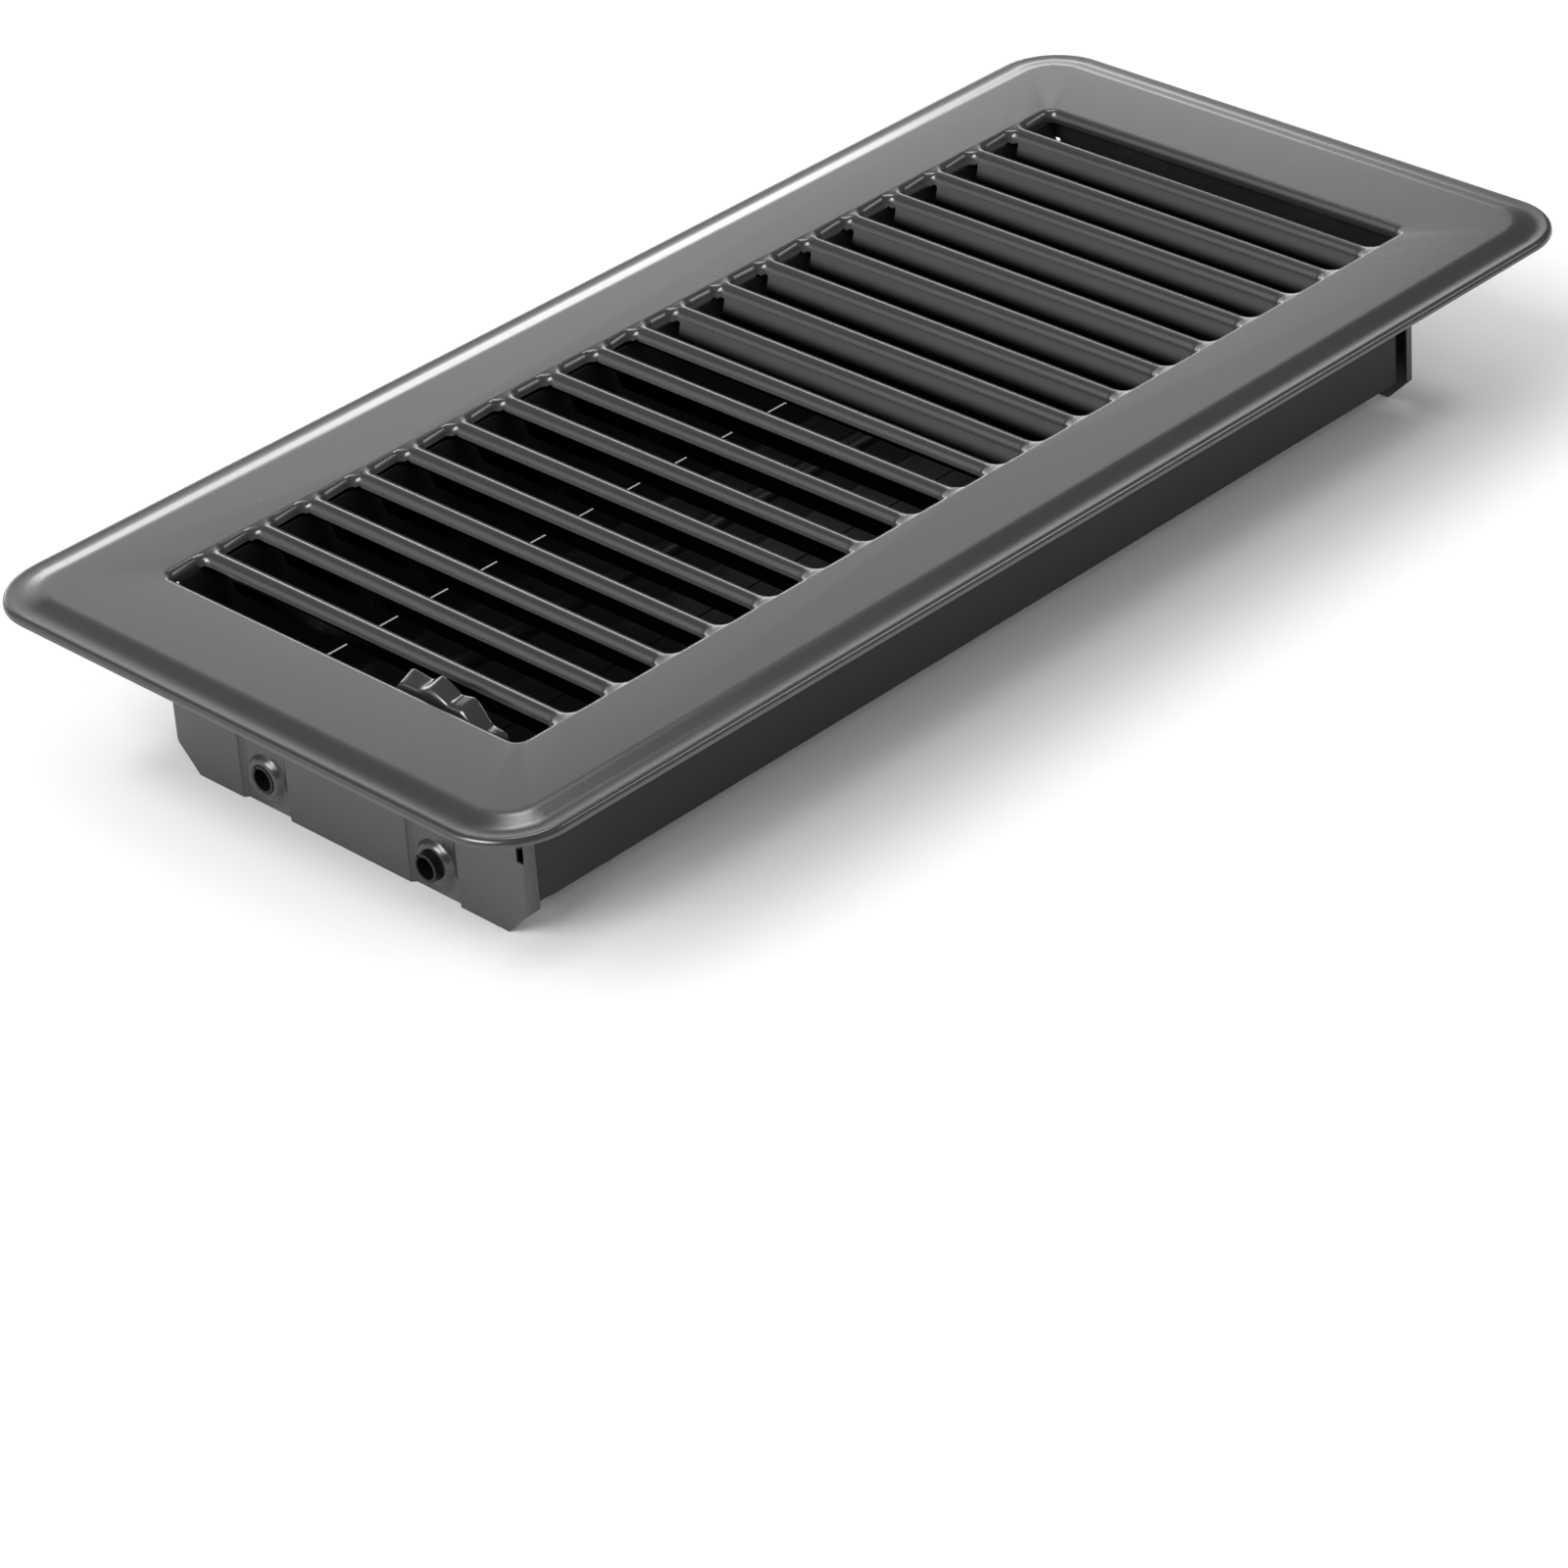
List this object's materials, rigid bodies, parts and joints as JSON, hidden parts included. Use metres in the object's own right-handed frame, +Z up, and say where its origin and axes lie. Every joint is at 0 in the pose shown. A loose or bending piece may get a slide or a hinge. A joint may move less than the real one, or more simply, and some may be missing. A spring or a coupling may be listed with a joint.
{
  "type": "floor register",
  "caption": "Steel floor register with a louvred faceplate on a shallow box, two linked dampers below it and a thumb wheel that shows through an end slot.",
  "frame": {"origin": "centre of the face, on the plane of the rim's lower edge, which rests on the floor", "axes": "+X along the length, away from the thumb wheel; +Y across, to the left when looking along +X; +Z up out of the floor"},
  "size_m": [0.2922, 0.1396, 0.0424],
  "materials": {
    "face": "satin",
    "box": "satin",
    "dampers": "satin",
    "wheel": "satin",
    "pins": "satin"
  },
  "bodies": {
    "base": {"faceplate": "face", "near_end_plate": "box", "far_end_plate": "box", "right_side_wall": "box", "left_side_wall": "box", "wheel_rivet": "pins"},
    "wheel": {"thumb_wheel": "wheel", "wheel_pin": "pins"},
    "right_damper": {"right_damper_blade": "dampers", "drive_pin": "pins", "right_link_pin": "pins"},
    "left_damper": {"left_damper_blade": "dampers", "left_link_pin": "pins"},
    "connecting_bar": {"connecting_bar": "dampers"},
    "drive_link": {"drive_link": "dampers"}
  },
  "joints": [
    {"name": "wheel_turn", "type": "hinge", "parent": "base", "child": "wheel", "pos_m": [-0.1185, -0.0223, -0.0182], "axis": [-1, 0, 0], "range_deg": [0, 90]},
    {"name": "right_damper_turn", "type": "hinge", "parent": "base", "child": "right_damper", "pos_m": [0, -0.0223, -0.031], "axis": [-1, 0, 0], "range_deg": [0, 90]},
    {"name": "left_damper_turn", "type": "hinge", "parent": "base", "child": "left_damper", "pos_m": [0, 0.0223, -0.031], "axis": [-1, 0, 0], "range_deg": [0, 90]},
    {"name": "bar_swing", "type": "hinge", "parent": "right_damper", "child": "connecting_bar", "pos_m": [0.11765, -0.02866, -0.02464], "axis": [-1, 0, 0], "range_deg": [-90, 0]},
    {"name": "link_swing", "type": "hinge", "parent": "wheel", "child": "drive_link", "pos_m": [-0.1167, -0.02982, -0.02094], "axis": [-1, 0, 0], "range_deg": [-90, 0]}
  ],
  "couplings": [
    {"joint": "right_damper_turn", "follows": "wheel_turn", "ratio": 1},
    {"joint": "left_damper_turn", "follows": "wheel_turn", "ratio": 1},
    {"joint": "bar_swing", "follows": "wheel_turn", "ratio": -1},
    {"joint": "link_swing", "follows": "wheel_turn", "ratio": -1}
  ]
}
